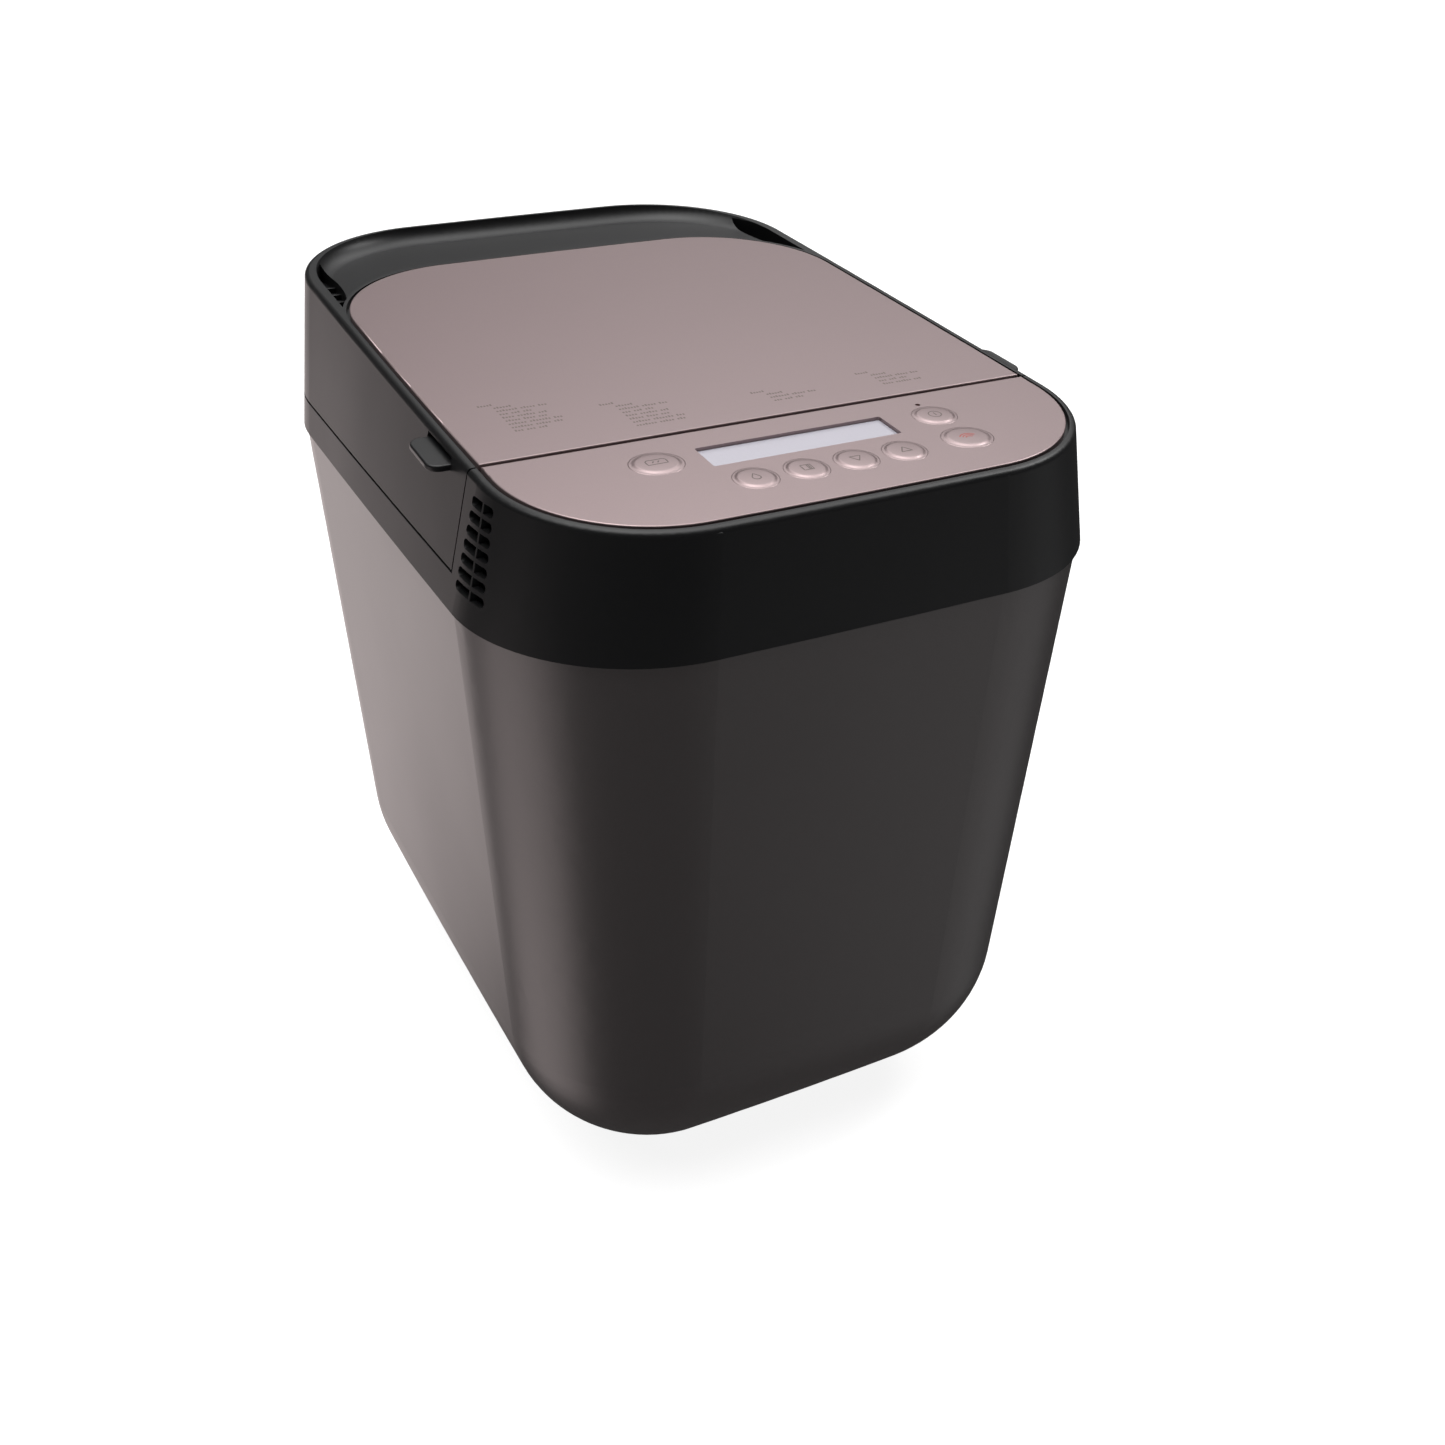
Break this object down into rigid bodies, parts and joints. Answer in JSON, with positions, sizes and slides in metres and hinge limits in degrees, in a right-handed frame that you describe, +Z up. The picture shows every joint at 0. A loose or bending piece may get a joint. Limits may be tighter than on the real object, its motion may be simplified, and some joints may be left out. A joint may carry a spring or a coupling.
{
  "type": "bread machine",
  "caption": "Domestic bread machine: tapered tub, dark ring with sloped control deck, hinged lid, lift-out pan with bail and kneading blade, belt drive below the oven.",
  "frame": {"origin": "middle of the bounding box's footprint, on the table", "axes": "+Z up; +X to the user's right; -Y is the front with the control deck, +Y the rear with the hinge"},
  "size_m": [0.25, 0.3328, 0.3321],
  "materials": {
    "ring_plastic": "satin",
    "tub_finish": "satin",
    "base_plastic": "matte",
    "bronze_plate": "satin",
    "foot_rubber": "matte",
    "steel_zinc": "satin",
    "gland_plastic": "matte",
    "window_clear": "gloss",
    "display_glass": "gloss",
    "light_pipe": "gloss",
    "board_green": "satin",
    "component_black": "matte",
    "liner_aluminium": "satin",
    "seal_silicone": "matte",
    "oven_sheet": "satin",
    "shield_sheet": "satin",
    "element_steel": "satin",
    "clip_steel": "satin",
    "sensor_metal": "satin",
    "motor_steel": "satin",
    "grommet_rubber": "matte",
    "belt_rubber": "matte",
    "bush_bronze": "satin",
    "standoff_nylon": "matte",
    "pan_coating": "satin",
    "pan_foot": "satin",
    "bail_steel": "gloss",
    "shaft_steel": "gloss",
    "coupling_plastic": "matte",
    "pulley_plastic": "matte",
    "motor_pulley_metal": "satin"
  },
  "bodies": {
    "chassis": {"body_shell": "tub_finish", "base_plate": "base_plastic", "feet": "foot_rubber", "base_screws": "steel_zinc", "cord_gland": "gland_plastic", "upper_frame": "ring_plastic", "control_panel": "bronze_plate", "display_window": "window_clear", "display_module": "display_glass", "status_light": "light_pipe", "control_board": "board_green", "board_screws": "steel_zinc", "key_switches": "component_black", "hinge_pins": "steel_zinc", "oven_chamber": "oven_sheet", "heating_element": "element_steel", "element_clips": "clip_steel", "pan_seat": "clip_steel", "seat_screws": "steel_zinc", "temperature_sensor": "sensor_metal", "thermal_fuse": "sensor_metal", "chassis_plate": "steel_zinc", "chassis_screws": "steel_zinc", "motor_body": "motor_steel", "motor_grommets": "grommet_rubber", "motor_screws": "steel_zinc", "drive_belt": "belt_rubber", "bearing_housing": "steel_zinc", "housing_screws": "steel_zinc", "drive_bush": "bush_bronze", "heat_shield": "shield_sheet", "board_standoffs": "standoff_nylon", "power_board": "board_green", "power_components": "component_black"},
    "lid": {"lid_shell": "ring_plastic", "lid_panel": "bronze_plate", "lid_liner": "liner_aluminium", "lid_screws": "steel_zinc", "lid_seal": "seal_silicone"},
    "pan": {"bread_pan": "pan_coating", "pan_base": "pan_foot", "pan_bush": "bush_bronze", "pan_seal": "seal_silicone"},
    "handle": {"pan_handle": "bail_steel"},
    "agitator": {"pan_shaft": "shaft_steel", "pan_coupling": "pan_foot", "kneading_blade": "pan_coating"},
    "drive": {"drive_shaft": "shaft_steel", "drive_coupling": "coupling_plastic", "drive_pulley": "pulley_plastic"},
    "rotor": {"motor_shaft": "shaft_steel", "motor_pulley": "motor_pulley_metal"},
    "key_menu": {"key_menu": "bronze_plate"},
    "key_select": {"key_select": "bronze_plate"},
    "key_option": {"key_option": "bronze_plate"},
    "key_down": {"key_down": "bronze_plate"},
    "key_up": {"key_up": "bronze_plate"},
    "key_start": {"key_start": "bronze_plate"},
    "key_stop": {"key_stop": "bronze_plate"}
  },
  "joints": [
    {"name": "lid_hinge", "type": "hinge", "parent": "chassis", "child": "lid", "pos_m": [0, 0.16205, 0.283], "axis": [-1, 0, 0], "range_deg": [0, 85]},
    {"name": "pan_lift", "type": "slide", "parent": "chassis", "child": "pan", "axis": [0, 0, 1], "range_m": [0, 0.07]},
    {"name": "handle_swing", "type": "hinge", "parent": "pan", "child": "handle", "pos_m": [0, 0.026, 0.2115], "axis": [0, -1, 0], "range_deg": [0, 180]},
    {"name": "agitator_spin", "type": "hinge", "parent": "pan", "child": "agitator", "pos_m": [0, 0.026, 0.08], "axis": [0, 0, 1], "continuous": true},
    {"name": "drive_spin", "type": "hinge", "parent": "chassis", "child": "drive", "pos_m": [0, 0.026, 0.04], "axis": [0, 0, 1], "continuous": true},
    {"name": "motor_spin", "type": "hinge", "parent": "chassis", "child": "rotor", "pos_m": [0, -0.114, 0.06], "axis": [0, 0, 1], "continuous": true},
    {"name": "key_menu_press", "type": "slide", "parent": "chassis", "child": "key_menu", "axis": [0, 0.0599, -0.9982], "range_m": [0, 0.0008], "stiffness_N_per_m": 900, "springref_m": -0.0004},
    {"name": "key_select_press", "type": "slide", "parent": "chassis", "child": "key_select", "axis": [0, 0.0599, -0.9982], "range_m": [0, 0.0008], "stiffness_N_per_m": 900, "springref_m": -0.0004},
    {"name": "key_option_press", "type": "slide", "parent": "chassis", "child": "key_option", "axis": [0, 0.0599, -0.9982], "range_m": [0, 0.0008], "stiffness_N_per_m": 900, "springref_m": -0.0004},
    {"name": "key_down_press", "type": "slide", "parent": "chassis", "child": "key_down", "axis": [0, 0.0599, -0.9982], "range_m": [0, 0.0008], "stiffness_N_per_m": 900, "springref_m": -0.0004},
    {"name": "key_up_press", "type": "slide", "parent": "chassis", "child": "key_up", "axis": [0, 0.0599, -0.9982], "range_m": [0, 0.0008], "stiffness_N_per_m": 900, "springref_m": -0.0004},
    {"name": "key_start_press", "type": "slide", "parent": "chassis", "child": "key_start", "axis": [0, 0.0599, -0.9982], "range_m": [0, 0.0008], "stiffness_N_per_m": 900, "springref_m": -0.0004},
    {"name": "key_stop_press", "type": "slide", "parent": "chassis", "child": "key_stop", "axis": [0, 0.0599, -0.9982], "range_m": [0, 0.0008], "stiffness_N_per_m": 900, "springref_m": -0.0004}
  ],
  "couplings": [
    {"joint": "motor_spin", "follows": "drive_spin", "ratio": 5.1111},
    {"joint": "agitator_spin", "follows": "drive_spin", "ratio": 1}
  ]
}
